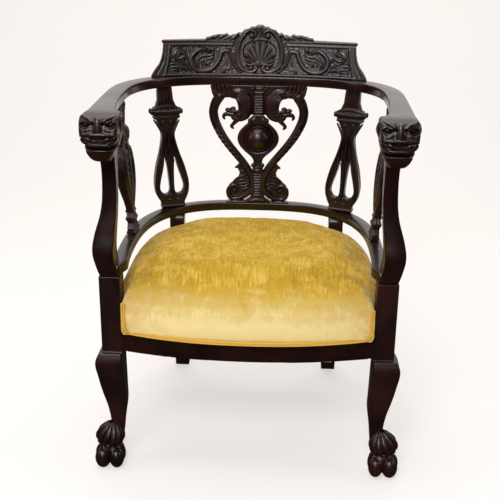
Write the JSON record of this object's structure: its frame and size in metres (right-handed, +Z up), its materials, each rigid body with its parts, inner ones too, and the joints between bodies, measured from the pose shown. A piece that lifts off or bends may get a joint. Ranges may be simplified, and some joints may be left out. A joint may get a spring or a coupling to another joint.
{
  "type": "armchair",
  "caption": "Dark carved wooden armchair with a horseshoe back, beast-head arm ends, bowed paw-footed front legs and a domed sprung seat in gold velvet.",
  "frame": {"origin": "on the floor, under the middle of the chair's bounding box", "axes": "+Z up, -Y to the chair's front, +X to the right as the chair is looked at from the front"},
  "size_m": [0.6114, 0.535, 0.839],
  "materials": {
    "ebonised_wood": "semi-gloss",
    "beech": "matte",
    "screw_steel": "satin",
    "spring_steel": "satin",
    "jute": "matte",
    "hair_stuffing": "matte",
    "velvet": "matte",
    "dust_cloth": "matte"
  },
  "bodies": {
    "root": {"back_rail": "ebonised_wood", "left_arm": "ebonised_wood", "right_arm": "ebonised_wood", "crest_rail": "ebonised_wood", "hoop_back": "ebonised_wood", "hoop_left": "ebonised_wood", "hoop_right": "ebonised_wood", "centre_splat": "ebonised_wood", "rear_splat_left": "ebonised_wood", "rear_splat_right": "ebonised_wood", "side_support_left": "ebonised_wood", "side_support_right": "ebonised_wood", "arm_post_left": "ebonised_wood", "arm_post_right": "ebonised_wood", "beast_head_left": "ebonised_wood", "beast_head_right": "ebonised_wood", "front_leg_left": "ebonised_wood", "front_leg_right": "ebonised_wood", "rear_leg_left": "ebonised_wood", "rear_leg_right": "ebonised_wood", "front_seat_rail": "ebonised_wood", "rear_seat_rail": "ebonised_wood", "side_seat_rail_left": "ebonised_wood", "side_seat_rail_right": "ebonised_wood", "corner_blocks": "beech", "corner_block_screws": "screw_steel", "post_dowels": "beech", "arm_dowels": "beech", "seat_webbing": "jute", "seat_springs": "spring_steel", "spring_hessian": "jute", "seat_stuffing": "hair_stuffing", "velvet_cover": "velvet", "welt_cord": "velvet", "dust_cover": "dust_cloth"}
  },
  "joints": []
}
